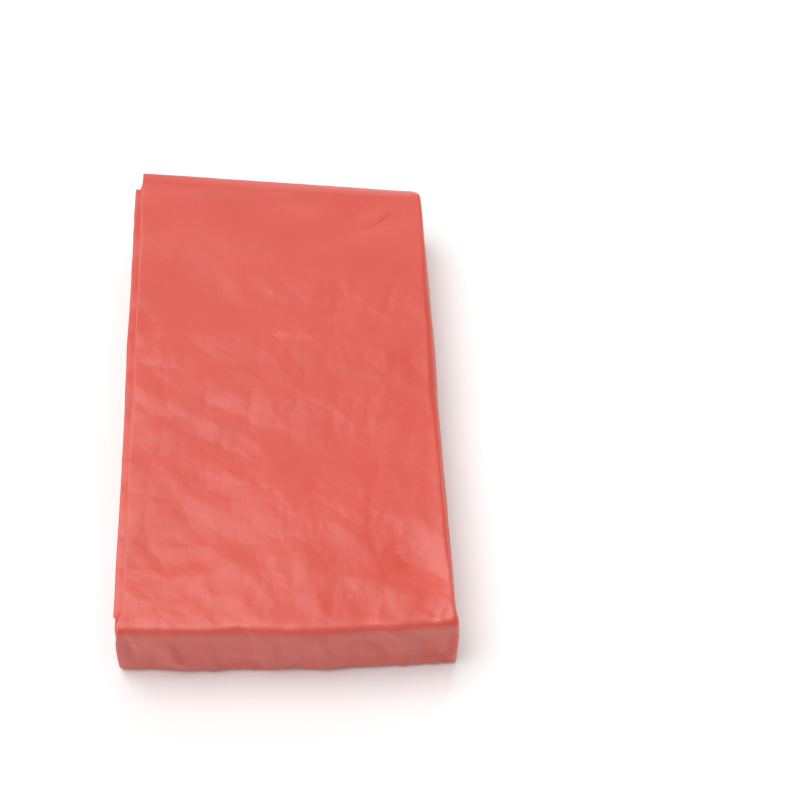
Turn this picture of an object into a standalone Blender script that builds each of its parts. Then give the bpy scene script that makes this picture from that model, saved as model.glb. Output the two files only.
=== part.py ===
"""Emergency bivy sack of polyethylene film, folded flat for storage.

The sack is one tube of thin film, sealed across its foot. It is first folded lengthwise to a narrow
strip of many plies, and the strip is then folded back and forth into a flat pack. The model is that
strip as one solid: a single back-and-forth section of its levels, a little apart, whose last panel
lies under the pile, turns up round the near end and covers the top.

Units are metres, +Z is up and +Y runs along the pack. The origin is under the middle of the pack, on
the surface that it rests on.
"""

from collections import namedtuple

import bpy
import numpy as np

# Driving dimensions of the folded pack
PACK_LENGTH = 0.198
PACK_HEIGHT = 0.031
STRIP_THICKNESS = 0.0021
LEVEL_COUNT = 12

# Rounded near end, where the bottom panel turns up and over: how far its curve reaches along Y, how
# square it is, and its side edges at mid height
NOSE_DEPTH = 0.008
NOSE_SQUARENESS = 3.5
NOSE_LEFT = -0.0572
NOSE_RIGHT = 0.0580

# Top fold at the far end. It overhangs the pile, droops there, and its right corner is rounded
OVERHANG = 0.0048
DROOP_LEFT = 0.0007
DROOP_RIGHT = 0.0024
DROOP_CURVE = 1.8
CORNER_RADIUS = 0.0055

# Free ends of the strip, both at the far end: under the pile, and on it inside
BOTTOM_END = 0.0925
INNER_END = 0.0900
FREE_END_SKEW = 0.0012

# Fineness of the faceted surface
STEPS_ON_LEVEL = 7
STEPS_ON_TURN = 6
STEPS_ON_NOSE = 14
STEPS_ON_OVERHANG = 3
STEPS_ACROSS = 9

# One row for each level of the strip, from the surface upwards: its two side edges along X
Level = namedtuple("Level", "left right")
LEVELS = (
    Level(left=-0.0568, right=0.0576),
    Level(left=-0.0566, right=0.0570),
    Level(left=-0.0571, right=0.0578),
    Level(left=-0.0576, right=0.0573),
    Level(left=-0.0580, right=0.0569),
    Level(left=-0.0574, right=0.0575),
    Level(left=-0.0578, right=0.0566),
    Level(left=-0.0570, right=0.0572),
    Level(left=-0.0577, right=0.0568),
    Level(left=-0.0579, right=0.0564),
    Level(left=-0.0560, right=0.0563),
    Level(left=-0.0556, right=0.0561),
)

# One row for each turn between two levels, from the top downwards, far and near by turns: the Y of
# its centre line at mid width, and how much further along +Y it lies at the left edge than there
Turn = namedtuple("Turn", "centre skew")
TURNS = (
    Turn(centre=0.0946, skew=0.0020),
    Turn(centre=-0.0908, skew=0.0003),
    Turn(centre=0.0901, skew=0.0020),
    Turn(centre=-0.0932, skew=-0.0002),
    Turn(centre=0.0893, skew=0.0014),
    Turn(centre=-0.0922, skew=0.0006),
    Turn(centre=0.0908, skew=0.0008),
    Turn(centre=-0.0930, skew=-0.0005),
    Turn(centre=0.0896, skew=0.0011),
    Turn(centre=-0.0914, skew=0.0004),
)

# Soft hollows pressed into the pile from above. Each is a long oval: its middle, its half length and
# half width, the angle of its length from +X, and its depth on the top panel
Hollow = namedtuple("Hollow", "x y half_length half_width angle depth")
HOLLOWS = (
    Hollow(x=0.034, y=0.078, half_length=0.026, half_width=0.009, angle=0.55, depth=0.0010),
    Hollow(x=-0.030, y=0.046, half_length=0.034, half_width=0.016, angle=-0.35, depth=0.0009),
    Hollow(x=0.012, y=-0.018, half_length=0.045, half_width=0.018, angle=0.20, depth=0.0012),
    Hollow(x=-0.036, y=-0.062, half_length=0.026, half_width=0.012, angle=0.80, depth=0.0008),
    Hollow(x=0.046, y=-0.074, half_length=0.016, half_width=0.008, angle=-0.60, depth=0.0010),
)

TOP_LEVEL = LEVEL_COUNT - 1
LEVEL_PITCH = (PACK_HEIGHT - STRIP_THICKNESS) / TOP_LEVEL
NOSE_START = -PACK_LENGTH / 2 + STRIP_THICKNESS / 2 + NOSE_DEPTH

# A station is a point of the strip's centre line, with the strip's edges and skew there, and how far
# it lies along the overhanging top fold, from 0 where the pile ends to 1 at the centre of the turn
Station = namedtuple("Station", "y z left right skew past")


def clear_scene():
    for obj in list(bpy.data.objects):
        bpy.data.objects.remove(obj, do_unlink=True)


def level_height(number):
    """The height of the middle of a level's thickness, counted from 0 at the surface."""
    return STRIP_THICKNESS / 2 + number * LEVEL_PITCH


def along_level(number, start, end, steps=STEPS_ON_LEVEL, past=(0.0, 0.0)):
    """Stations evenly spaced along a level, from one (y, skew) to another, without the first."""
    level = LEVELS[number]
    stations = []
    for step in range(1, steps + 1):
        part = step / steps
        y = start[0] + (end[0] - start[0]) * part
        skew = start[1] + (end[1] - start[1]) * part
        reach = past[0] + (past[1] - past[0]) * part
        stations.append(Station(y, level_height(number), level.left, level.right, skew, reach))
    return stations


def round_turn(number, upper_number):
    """The half circle of a turn, from a level down to the next one, outwards to +Y or -Y by turns."""
    turn = TURNS[number]
    upper = LEVELS[upper_number]
    lower = LEVELS[upper_number - 1]
    side = 1 if turn.centre > 0 else -1
    stations = []
    for step in range(1, STEPS_ON_TURN + 1):
        part = step / STEPS_ON_TURN
        angle = np.pi * part
        y = turn.centre + side * LEVEL_PITCH / 2 * np.sin(angle)
        z = level_height(upper_number) - LEVEL_PITCH / 2 * (1 - np.cos(angle))
        left = upper.left + (lower.left - upper.left) * part
        right = upper.right + (lower.right - upper.right) * part
        past = 1 + (y - turn.centre) / OVERHANG if number == 0 else 0.0
        stations.append(Station(y, z, left, right, turn.skew, past))
    return stations


def round_nose():
    """The near end from the bottom panel up to the top one.

    It is half of a superellipse: |y / depth|^n + |z / half height|^n = 1, wider at mid height.
    """
    top = LEVELS[TOP_LEVEL]
    bottom = LEVELS[0]
    half_height = (level_height(TOP_LEVEL) - level_height(0)) / 2
    middle = level_height(0) + half_height
    stations = []
    for step in range(1, STEPS_ON_NOSE + 1):
        part = step / STEPS_ON_NOSE
        angle = np.pi * part
        bulge = np.sin(angle)
        reach = abs(bulge) ** (2 / NOSE_SQUARENESS)
        rise = -np.sign(np.cos(angle)) * abs(np.cos(angle)) ** (2 / NOSE_SQUARENESS)
        left = bottom.left + (top.left - bottom.left) * part
        right = bottom.right + (top.right - bottom.right) * part
        left += (NOSE_LEFT - left) * bulge
        right += (NOSE_RIGHT - right) * bulge
        y = NOSE_START - NOSE_DEPTH * reach
        z = middle + half_height * rise
        stations.append(Station(y, z, left, right, 0.0, 0.0))
    return stations


def strip_stations():
    """The whole strip: bottom panel, near end, top panel, then back and forth down to the inner end."""
    bottom = LEVELS[0]
    nose = (NOSE_START, 0.0)
    fold = (TURNS[0].centre, TURNS[0].skew)
    pile_end = (fold[0] - OVERHANG, fold[1])
    stations = [Station(BOTTOM_END, level_height(0), bottom.left, bottom.right, FREE_END_SKEW, 0.0)]
    stations += along_level(0, (BOTTOM_END, FREE_END_SKEW), nose)
    stations += round_nose()
    stations += along_level(TOP_LEVEL, nose, pile_end)
    stations += along_level(TOP_LEVEL, pile_end, fold, STEPS_ON_OVERHANG, past=(0.0, 1.0))
    stations += round_turn(0, TOP_LEVEL)
    stations += along_level(TOP_LEVEL - 1, fold, pile_end, STEPS_ON_OVERHANG, past=(1.0, 0.0))
    place = pile_end
    number = TOP_LEVEL - 1
    for index in range(1, len(TURNS)):
        target = (TURNS[index].centre, TURNS[index].skew)
        stations += along_level(number, place, target)
        stations += round_turn(index, number)
        place = target
        number -= 1
    stations += along_level(number, place, (INNER_END, FREE_END_SKEW))
    return stations


def hollow_depth(x, y):
    """How far the top panel is pressed down at each point: a sum of soft ovals, exp(-r^2)."""
    depth = np.zeros_like(x)
    for hollow in HOLLOWS:
        along = (x - hollow.x) * np.cos(hollow.angle) + (y - hollow.y) * np.sin(hollow.angle)
        across = (y - hollow.y) * np.cos(hollow.angle) - (x - hollow.x) * np.sin(hollow.angle)
        radius = (along / hollow.half_length) ** 2 + (across / hollow.half_width) ** 2
        depth += hollow.depth * np.exp(-radius)
    return depth


def strip_surface():
    """The middle surface of the strip as a grid of points, stations by steps across."""
    y, z, left, right, skew, past = (column[:, None] for column in np.array(strip_stations()).T)
    across = np.linspace(0.0, 1.0, STEPS_ACROSS + 1)[None, :]
    fold_edge = TURNS[0].centre + LEVEL_PITCH / 2
    into_corner = np.clip((y - fold_edge + CORNER_RADIUS) / CORNER_RADIUS, 0, 1) * (past > 0)
    right = right - CORNER_RADIUS * (1 - np.sqrt(1 - into_corner**2))
    x = left + (right - left) * across
    y = y + skew * (1 - 2 * across)
    droop = (DROOP_LEFT + (DROOP_RIGHT - DROOP_LEFT) * across) * past**DROOP_CURVE
    height = (z - STRIP_THICKNESS / 2) / (PACK_HEIGHT - STRIP_THICKNESS)
    z = z - height * hollow_depth(x, y) - droop
    return np.stack([x, y, z], axis=2)


def grid_faces(rows, columns):
    """Quads of a grid of points, wound so that the top panel's normals point up."""
    index = np.arange(rows * columns).reshape(rows, columns)
    quads = np.stack([index[:-1, :-1], index[:-1, 1:], index[1:, 1:], index[1:, :-1]], axis=2)
    return quads.reshape(-1, 4)


def film_material():
    material = bpy.data.materials.new("orange_red_film")
    material.use_nodes = True
    shader = material.node_tree.nodes["Principled BSDF"]
    shader.inputs["Base Color"].default_value = (0.76, 0.085, 0.05, 1.0)
    shader.inputs["Roughness"].default_value = 0.38
    shader.inputs["Metallic"].default_value = 0.0
    return material


def build_sack():
    points = strip_surface()
    rows, columns = points.shape[:2]
    mesh = bpy.data.meshes.new("folded_sack")
    mesh.from_pydata(points.reshape(-1, 3).tolist(), [], grid_faces(rows, columns).tolist())
    mesh.materials.append(film_material())
    mesh.shade_smooth()
    sack = bpy.data.objects.new("folded_sack", mesh)
    bpy.context.scene.collection.objects.link(sack)
    wall = sack.modifiers.new("thickness", "SOLIDIFY")
    wall.thickness = STRIP_THICKNESS
    wall.offset = 0.0
    wall.use_even_offset = True
    return sack


clear_scene()
build_sack()
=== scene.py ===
# %% [markdown]
# # An emergency bivy sack, folded flat
# The sack is a tube of thin orange-red polyethylene film, about as wide as a sleeper and as long as one.
# For storage it is folded lengthwise, three times in half, to a narrow strip, and the strip is folded back
# and forth into a flat pack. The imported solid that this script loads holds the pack's size and the place
# of each fold. It could be shown as it is, but one smooth slab for each level would look like felt, so it
# is kept for weight and contact only, and real thin film is folded up in the same space.

import math

import bpy
import numpy as np
from mathutils import Matrix, Vector


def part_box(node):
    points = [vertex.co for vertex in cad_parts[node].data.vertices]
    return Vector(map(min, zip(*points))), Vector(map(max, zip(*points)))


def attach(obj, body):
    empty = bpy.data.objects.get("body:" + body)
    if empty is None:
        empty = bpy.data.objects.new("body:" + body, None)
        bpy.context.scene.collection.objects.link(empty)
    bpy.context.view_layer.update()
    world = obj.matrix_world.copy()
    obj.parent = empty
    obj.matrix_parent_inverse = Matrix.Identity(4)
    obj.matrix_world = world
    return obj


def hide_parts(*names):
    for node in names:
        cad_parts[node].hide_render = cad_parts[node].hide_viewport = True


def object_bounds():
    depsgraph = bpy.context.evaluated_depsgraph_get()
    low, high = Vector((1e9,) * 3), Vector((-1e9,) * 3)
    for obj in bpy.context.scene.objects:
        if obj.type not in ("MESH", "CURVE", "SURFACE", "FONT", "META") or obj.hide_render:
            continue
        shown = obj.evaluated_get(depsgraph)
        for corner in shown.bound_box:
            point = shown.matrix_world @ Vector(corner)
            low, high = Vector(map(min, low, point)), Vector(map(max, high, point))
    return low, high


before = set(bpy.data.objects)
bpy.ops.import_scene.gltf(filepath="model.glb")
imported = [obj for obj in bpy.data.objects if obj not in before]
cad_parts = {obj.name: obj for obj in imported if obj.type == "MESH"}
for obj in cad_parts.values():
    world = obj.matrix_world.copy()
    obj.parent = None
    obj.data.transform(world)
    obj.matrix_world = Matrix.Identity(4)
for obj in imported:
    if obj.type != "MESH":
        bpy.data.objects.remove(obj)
cad_low, cad_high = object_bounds()
sack_low, sack_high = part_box("folded_sack")
MM = 0.001
print("solids in the frame:", len(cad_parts))
print("pack size in mm:", [round(side / MM, 1) for side in sack_high - sack_low])

# %% [markdown]
# ## Camera, floor and light
# A small product like this is usually shot from above, at arm's length, on a white table under one wide
# soft light. The camera could look straight down the pack's length, but then both long sides would
# converge alike. It stands a little to the left, is rolled, and aims right of the pack's middle.

# %% Camera
CAMERA_AIM = Vector((45.7 * MM, 11.4 * MM, 0.0))
CAMERA_DISTANCE = 0.547
CAMERA_AZIMUTH = math.radians(-12.41)
CAMERA_ELEVATION = math.radians(58.71)
CAMERA_ROLL = math.radians(10.75)
CAMERA_LENS_MM = 63.0
SENSOR_WIDTH_MM = 36.0


def make_camera():
    """Puts the camera on a ball round its aim, by azimuth and elevation, and rolls it about its axis."""
    across = math.cos(CAMERA_ELEVATION)
    sine, cosine = math.sin(CAMERA_AZIMUTH), math.cos(CAMERA_AZIMUTH)
    back = Vector((sine * across, -cosine * across, math.sin(CAMERA_ELEVATION)))
    right = Vector((cosine, sine, 0.0))
    up = back.cross(right)
    turned_right = right * math.cos(CAMERA_ROLL) + up * math.sin(CAMERA_ROLL)
    turned_up = up * math.cos(CAMERA_ROLL) - right * math.sin(CAMERA_ROLL)
    data = bpy.data.cameras.new("camera")
    data.lens = CAMERA_LENS_MM
    data.sensor_width = SENSOR_WIDTH_MM
    camera = bpy.data.objects.new("camera", data)
    turn = Matrix((turned_right, turned_up, back)).transposed().to_4x4()
    camera.matrix_world = Matrix.Translation(CAMERA_AIM + back * CAMERA_DISTANCE) @ turn
    bpy.context.scene.collection.objects.link(camera)
    bpy.context.scene.camera = camera
    return camera


camera = make_camera()
print("camera stands at", [round(v, 3) for v in camera.matrix_world.translation])


# %% [markdown]
# Colours are written as sRGB hex values, which is how they are picked, and shaders need linear
# light, so one function converts them. One more helper adds a shader node with its settings and links.

# %% Helpers for colours and nodes
def linear(hex_colour, alpha=1.0):
    """Each channel c of an sRGB colour becomes c / 12.92 below 0.04045, else ((c + 0.055) / 1.055) ^ 2.4."""
    channels = [int(hex_colour[i : i + 2], 16) / 255 for i in (1, 3, 5)]
    turned = [c / 12.92 if c <= 0.04045 else ((c + 0.055) / 1.055) ** 2.4 for c in channels]
    return (*turned, alpha)


def add_node(tree, kind, settings=None, values=None, links=None):
    """Adds a node: its settings by name, its sockets' values and the outputs that feed its sockets."""
    node = tree.nodes.new(kind)
    for name, value in (settings or {}).items():
        setattr(node, name, value)
    for name, value in (values or {}).items():
        node.inputs[name].default_value = value
    for name, output in (links or {}).items():
        tree.links.new(output, node.inputs[name])
    return node


# %% Floor
FLOOR_SIZE = 30.0
FLOOR_COLOUR = "#fafafa"
FLOOR_ROUGHNESS = 0.75
BELOW_PACK = 0.05 * MM


def make_floor():
    """A square plane just below the pack's lowest point."""
    half = FLOOR_SIZE / 2
    corners = [(-half, -half, 0), (half, -half, 0), (half, half, 0), (-half, half, 0)]
    mesh = bpy.data.meshes.new("floor")
    mesh.from_pydata(corners, [], [(0, 1, 2, 3)])
    material = bpy.data.materials.new("white_table")
    material.use_nodes = True
    shader = material.node_tree.nodes["Principled BSDF"]
    shader.inputs["Base Color"].default_value = linear(FLOOR_COLOUR)
    shader.inputs["Roughness"].default_value = FLOOR_ROUGHNESS
    mesh.materials.append(material)
    floor = bpy.data.objects.new("floor", mesh)
    floor.location.z = cad_low.z - BELOW_PACK
    bpy.context.scene.collection.objects.link(floor)
    return floor


floor = make_floor()
print("floor lies at", round(floor.location.z / MM, 2), "mm")

# %% [markdown]
# Area lamps near so small a pack would leave the far floor dark. Suns light the whole table alike, and a
# wide sun casts the same soft shadow as a lamp with a diffuser. The high one, a little to the left, leaves
# the near end in half shade. Two behind, like a window and the bright wall below it, draw highlights on
# creases and along the far fold. A pale one on the right lightens the shadow side, and a low one on the
# left models the near end's facets. The room fills the shadows, and looks brighter than it lights.

# %% Lights
ROOM_COLOUR = "#ffffff"
ROOM_LIGHT = 0.36
ROOM_SEEN = 1.0
# name, direction that it shines from, width in degrees, strength
SUNS = (
    ("overhead", (-0.36, 0.20, 1.15), 46, 2.26),
    ("far_window", (0.22, 1.10, 0.86), 16, 0.26),
    ("far_wall", (0.10, 1.00, 0.26), 32, 0.26),
    ("right_wall", (1.00, 0.45, 0.40), 40, 0.16),
    ("left_window", (-1.00, -0.32, 0.30), 26, 0.32),
)


def make_lights():
    """The white room as the world, and a sun for each row of the table."""
    world = bpy.data.worlds.new("white_room")
    world.use_nodes = True
    tree = world.node_tree
    light = tree.nodes["Background"]
    light.inputs["Color"].default_value = linear(ROOM_COLOUR)
    light.inputs["Strength"].default_value = ROOM_LIGHT
    seen = add_node(tree, "ShaderNodeBackground", {}, {"Color": linear(ROOM_COLOUR), "Strength": ROOM_SEEN})
    ray = add_node(tree, "ShaderNodeLightPath")
    mix = add_node(tree, "ShaderNodeMixShader", {}, {}, {
        0: ray.outputs["Is Camera Ray"], 1: light.outputs["Background"], 2: seen.outputs["Background"],
    })
    tree.links.new(mix.outputs["Shader"], tree.nodes["World Output"].inputs["Surface"])
    bpy.context.scene.world = world
    for name, direction, width, strength in SUNS:
        data = bpy.data.lights.new(name, "SUN")
        data.angle = math.radians(width)
        data.energy = strength
        sun = bpy.data.objects.new(name, data)
        sun.location = Vector(direction)
        sun.rotation_euler = (-Vector(direction)).to_track_quat("-Z", "Y").to_euler()
        bpy.context.scene.collection.objects.link(sun)


make_lights()
bpy.context.scene.view_settings.view_transform = "Standard"
print("suns:", [sun[0] for sun in SUNS])

# %% [markdown]
# ## The path of the strip
# Seen from the side, the strip runs under the pile, up round the near end, over the top, and then back and
# forth downwards inside. Its centre line is made of straight levels, half circles and one rounded end, and
# everything else in this script hangs on that line. It could be drawn by hand as one curve, but worked out
# from the levels' heights it stays evenly spaced, and each leaf of film can be offset from it.

# %% Sizes of the folded strip
PACK_HEIGHT = sack_high.z - sack_low.z
LEVEL_COUNT = 12
LEAF_COUNT = 8
LEAF_PITCH = 0.28 * MM
LEAF_THICKNESS = 0.14 * MM
STRIP_HALF = (LEAF_COUNT - 1) / 2 * LEAF_PITCH + LEAF_THICKNESS / 2
FLOOR_GAP = 0.01 * MM  # keeps the lowest film just off the floor
LEVEL_PITCH = (PACK_HEIGHT - 2 * STRIP_HALF - 2 * FLOOR_GAP) / (LEVEL_COUNT - 1)
TOP_LEVEL = LEVEL_COUNT - 1
NOSE_DEPTH = 6.0 * MM
NOSE_SQUARENESS = 8.0
NOSE_LEFT = -57.2 * MM
NOSE_RIGHT = 57.5 * MM
NOSE_BULGE_POWERS = (0.5, 1.0)
OVERHANG = 4.8 * MM
BOTTOM_END = 92.5 * MM
INNER_END = 90.0 * MM
FREE_END_SKEW = 1.2 * MM

# left and right edge of each level in mm, from the bottom one up
LEVEL_EDGES = np.array([
    (-56.8, 57.6), (-56.6, 57.0), (-57.1, 57.8), (-57.6, 57.3), (-58.0, 56.9), (-57.4, 57.5),
    (-57.8, 56.9), (-57.0, 57.2), (-57.7, 57.0), (-57.9, 56.6), (-55.2, 56.2), (-54.8, 55.6),
]) * MM
# centre of each turn along Y and its skew in mm, from the top one down, alternately far and near
TURNS = np.array([
    (94.6, 2.0), (-90.8, 0.3), (90.1, 2.0), (-93.2, -0.2), (89.3, 1.4),
    (-92.2, 0.6), (90.8, 0.8), (-93.0, -0.5), (89.6, 1.1), (-91.4, 0.4),
]) * MM
print("level pitch in mm:", round(LEVEL_PITCH / MM, 3))


# %% Parts of the path
# A path is an array with a row for each station. Its columns are the centre line's y and z, the direction
# of travel in y and z, the strip's left and right edge, its skew, how far the station lies along the
# overhanging fold, and its distance along the strip.
COLUMN_COUNT = 9
Y, Z, TRAVEL_Y, TRAVEL_Z, LEFT, RIGHT, SKEW, PAST, RUN = range(COLUMN_COUNT)


def level_height(number):
    """Height of the middle of a level above the floor: levels are one pitch apart."""
    return sack_low.z + FLOOR_GAP + STRIP_HALF + number * LEVEL_PITCH


def along_level(number, start, end, spacing, past=(0.0, 0.0)):
    """A straight run from (y, skew) to (y, skew), with stations about a spacing apart."""
    count = max(2, int(round(abs(end[0] - start[0]) / spacing)) + 1)
    part = np.linspace(0, 1, count)
    rows = np.zeros((count, COLUMN_COUNT))
    rows[:, Y] = start[0] + (end[0] - start[0]) * part
    rows[:, Z] = level_height(number)
    rows[:, TRAVEL_Y] = np.sign(end[0] - start[0])
    rows[:, LEFT], rows[:, RIGHT] = LEVEL_EDGES[number]
    rows[:, SKEW] = start[1] + (end[1] - start[1]) * part
    rows[:, PAST] = past[0] + (past[1] - past[0]) * part
    return rows


def round_turn(index, upper, count):
    """A half circle down from one level to the next: y = centre + r sin(a), z = top - r (1 - cos(a))."""
    centre, skew = TURNS[index]
    side = np.sign(centre)
    radius = LEVEL_PITCH / 2
    part = np.linspace(0, 1, count)
    angle = np.pi * part
    rows = np.zeros((count, COLUMN_COUNT))
    rows[:, Y] = centre + side * radius * np.sin(angle)
    rows[:, Z] = level_height(upper) - radius * (1 - np.cos(angle))
    rows[:, TRAVEL_Y] = side * np.cos(angle)
    rows[:, TRAVEL_Z] = -np.sin(angle)
    edges = LEVEL_EDGES[upper] + np.outer(part, LEVEL_EDGES[upper - 1] - LEVEL_EDGES[upper])
    rows[:, [LEFT, RIGHT]] = edges
    rows[:, SKEW] = skew
    rows[:, PAST] = 1 + (rows[:, Y] - centre) / OVERHANG if index == 0 else 0
    return rows


# %% The rounded near end
NOSE_SAMPLES = 4001


def round_nose(spacing):
    """The near end, half of |y / depth|^n + |z / half height|^n = 1, with stations evenly spaced along it."""
    half_height = (level_height(TOP_LEVEL) - level_height(0)) / 2
    angle = np.linspace(0, np.pi, NOSE_SAMPLES)
    power = 2 / NOSE_SQUARENESS
    start = sack_low.y + STRIP_HALF + NOSE_DEPTH
    y = start - NOSE_DEPTH * np.sin(angle).clip(0) ** power
    z = level_height(0) + half_height * (1 - np.sign(np.cos(angle)) * np.abs(np.cos(angle)) ** power)
    run = np.concatenate([[0], np.cumsum(np.hypot(np.diff(y), np.diff(z)))])
    at = np.linspace(0, run[-1], int(round(run[-1] / spacing)) + 1)
    rows = np.zeros((len(at), COLUMN_COUNT))
    rows[:, Y] = np.interp(at, run, y)
    rows[:, Z] = np.interp(at, run, z)
    travel = np.stack([np.gradient(rows[:, Y]), np.gradient(rows[:, Z])], axis=1)
    travel[[0, -1]] = [(-1, 0), (1, 0)]
    rows[:, [TRAVEL_Y, TRAVEL_Z]] = travel / np.linalg.norm(travel, axis=1)[:, None]
    part = (at / run[-1])[:, None]
    edges = LEVEL_EDGES[0] + part * (LEVEL_EDGES[TOP_LEVEL] - LEVEL_EDGES[0])
    bulge = np.sin(np.pi * part).clip(0) ** NOSE_BULGE_POWERS
    rows[:, [LEFT, RIGHT]] = edges + bulge * (np.array([NOSE_LEFT, NOSE_RIGHT]) - edges)
    return rows


def join(parts, from_run=0.0):
    """Puts runs end to end, without the stations that repeat, and measures the distance along them."""
    path = np.concatenate([parts[0]] + [rows[1:] for rows in parts[1:]])
    path[1:, RUN] = np.cumsum(np.hypot(np.diff(path[:, Y]), np.diff(path[:, Z])))
    path[:, RUN] += from_run
    return path


# %% [markdown]
# The pack is modelled in two stretches. The wrap is the bottom panel, the near end, the top panel, the fold
# at its far end and the level under it: it is what one sees, so its stations are close together. The levels
# below show only along their edges, so theirs may be further apart. One stretch passes into the next half
# way round a turn at the near end, inside the wrap, where it is dark.

# %% The two stretches of the path
FINE = 1.0 * MM
COARSE = 2.3 * MM
HIDDEN = 5.0 * MM
FINE_TURN = 13  # stations round a turn
COARSE_TURN = 9
HALF_TURN = COARSE_TURN // 2
NOSE_STEP = 0.55  # the near end's stations are this much closer together than the others


def wrap_path(spacing, hidden_spacing, turn_count):
    """Bottom panel, near end, top panel, the fold past the pile and the level under it, in this order."""
    nose_start = (sack_low.y + STRIP_HALF + NOSE_DEPTH, 0.0)
    fold = tuple(TURNS[0])
    pile_end = (fold[0] - OVERHANG, fold[1])
    return join([
        along_level(0, (BOTTOM_END, FREE_END_SKEW), nose_start, hidden_spacing),
        round_nose(NOSE_STEP * spacing),
        along_level(TOP_LEVEL, nose_start, pile_end, spacing),
        along_level(TOP_LEVEL, pile_end, fold, spacing, past=(0.0, 1.0)),
        round_turn(0, TOP_LEVEL, turn_count),
        along_level(TOP_LEVEL - 1, fold, pile_end, spacing, past=(1.0, 0.0)),
        along_level(TOP_LEVEL - 1, pile_end, TURNS[1], hidden_spacing),
        round_turn(1, TOP_LEVEL - 1, COARSE_TURN)[: HALF_TURN + 1],
    ])


def inner_path(spacing, from_run):
    """The levels under the upper two, down to the strip's inner end, with a turn below each but the last."""
    runs = [round_turn(1, TOP_LEVEL - 1, COARSE_TURN)[HALF_TURN:]]
    for number in range(TOP_LEVEL - 2, 0, -1):
        index = TOP_LEVEL - number
        end = TURNS[index] if index < len(TURNS) else np.array((INNER_END, FREE_END_SKEW))
        runs.append(along_level(number, TURNS[index - 1], end, spacing))
        if index < len(TURNS):
            runs.append(round_turn(index, number, COARSE_TURN))
    return join(runs, from_run)


fine_wrap_path = wrap_path(FINE, HIDDEN, FINE_TURN)
coarse_wrap_path = wrap_path(COARSE, COARSE, COARSE_TURN)
inner_strip_path = inner_path(COARSE, coarse_wrap_path[-1, RUN])
print("length of the folded strip in m:", round(inner_strip_path[-1, RUN], 3))

# %% [markdown]
# ## The strip's own section
# The empty sack is two walls of film that lie on each other like one leaf. Folded in half three times, it
# makes eight leaves side by side, so cut across, each level shows seven folds: four nested spines down the
# right side, and on the left three folds and the sack's own two edges, never quite in line. The leaves
# could be a stack of loose sheets, but one continuous line keeps every fold where it really is. A leaf is
# drawn 0.14 mm thick, a little more than its two walls.

# %% Places across a leaf
# steps in from both edges, and how many even places lie between them
FINE_PLACES = (np.array([0, 0.3, 0.7, 1.2, 1.8, 2.5, 3.3]) * MM, 98)
COARSE_PLACES = (np.array([0, 0.4, 1.1, 2.4, 5, 11, 24]) * MM, 2)
FOLD_ROUNDNESS = 0.95
SPINE_REACH = FOLD_ROUNDNESS * (LEAF_COUNT - 1) / 2 * LEAF_PITCH
print("outermost fold reaches", round(SPINE_REACH / MM, 2), "mm past the leaves' edges")


def leaf_depth(leaf):
    """Height of a leaf in the strip: leaf 1 lies outermost, and each next one a pitch further in."""
    return ((LEAF_COUNT + 1) / 2 - leaf) * LEAF_PITCH


def leaf_run(low, high, places):
    """Places from the low edge to the high edge: the same steps in from both, then even ones between."""
    steps, count = places
    middle = ((low + high) / 2)[:, None]
    inner = np.linspace(-1, 1, count + 2)[1:-1]
    half = (high - low)[:, None] / 2 - steps[-1]
    return np.concatenate([low[:, None] + steps, middle + half * inner, high[:, None] - steps[::-1]], axis=1)


def half_turn(x, start, end, side):
    """Places round a fold from one leaf to another: x + side reach sin(a), depth by cos(a)."""
    gap = abs(end - start)
    angle = np.linspace(0, np.pi, gap + 4)[1:-1]
    across = x[:, None] + side * FOLD_ROUNDNESS * gap / 2 * LEAF_PITCH * np.sin(angle)
    depth = leaf_depth((start + end) / 2 + (start - end) / 2 * np.cos(angle))
    return across, np.broadcast_to(depth, across.shape)


# %% [markdown]
# Nothing about folded film repeats, so its edges wander and its ripples lie by value noise: random heights
# at even distances, joined by a curve or by straight lines. A modifier with a noise texture could push the
# points about too, but worked out as arrays the noise can be bent, faded and added in any formula.

# %% Smooth steps and random heights
def ease(part):
    """Smooth step 3 t^2 - 2 t^3 of a share clipped to 0..1."""
    part = np.clip(part, 0, 1)
    return part * part * (3 - 2 * part)


NOISE_LENGTH = 4096
NOISE_START = 1000
FIELD_SIDE = 256
FIELD_START = 100


def bell(distance, reach):
    """1 in the middle, falling to both sides as exp(-(distance / reach)^2)."""
    return np.exp(-((distance / reach) ** 2))


def random_heights(at, spacing, seed):
    """The random heights in -1..1 on both sides of each place, and how far it lies between them."""
    heights = np.random.default_rng(seed).uniform(-1, 1, NOISE_LENGTH)
    place = np.asarray(at) / spacing + NOISE_START
    cell = np.floor(place).astype(int)
    return heights[cell % NOISE_LENGTH], heights[(cell + 1) % NOISE_LENGTH], place - cell


def smooth_noise(at, spacing, seed):
    """Value noise along a line: random heights every spacing, joined by 3 t^2 - 2 t^3."""
    low, high, part = random_heights(at, spacing, seed)
    part = part * part * (3 - 2 * part)
    return low * (1 - part) + high * part


def kinked_noise(at, spacing, seed):
    """Random heights joined by straight lines, so that the surface has flat facets."""
    low, high, part = random_heights(at, spacing, seed)
    return low * (1 - part) + high * part


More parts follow.
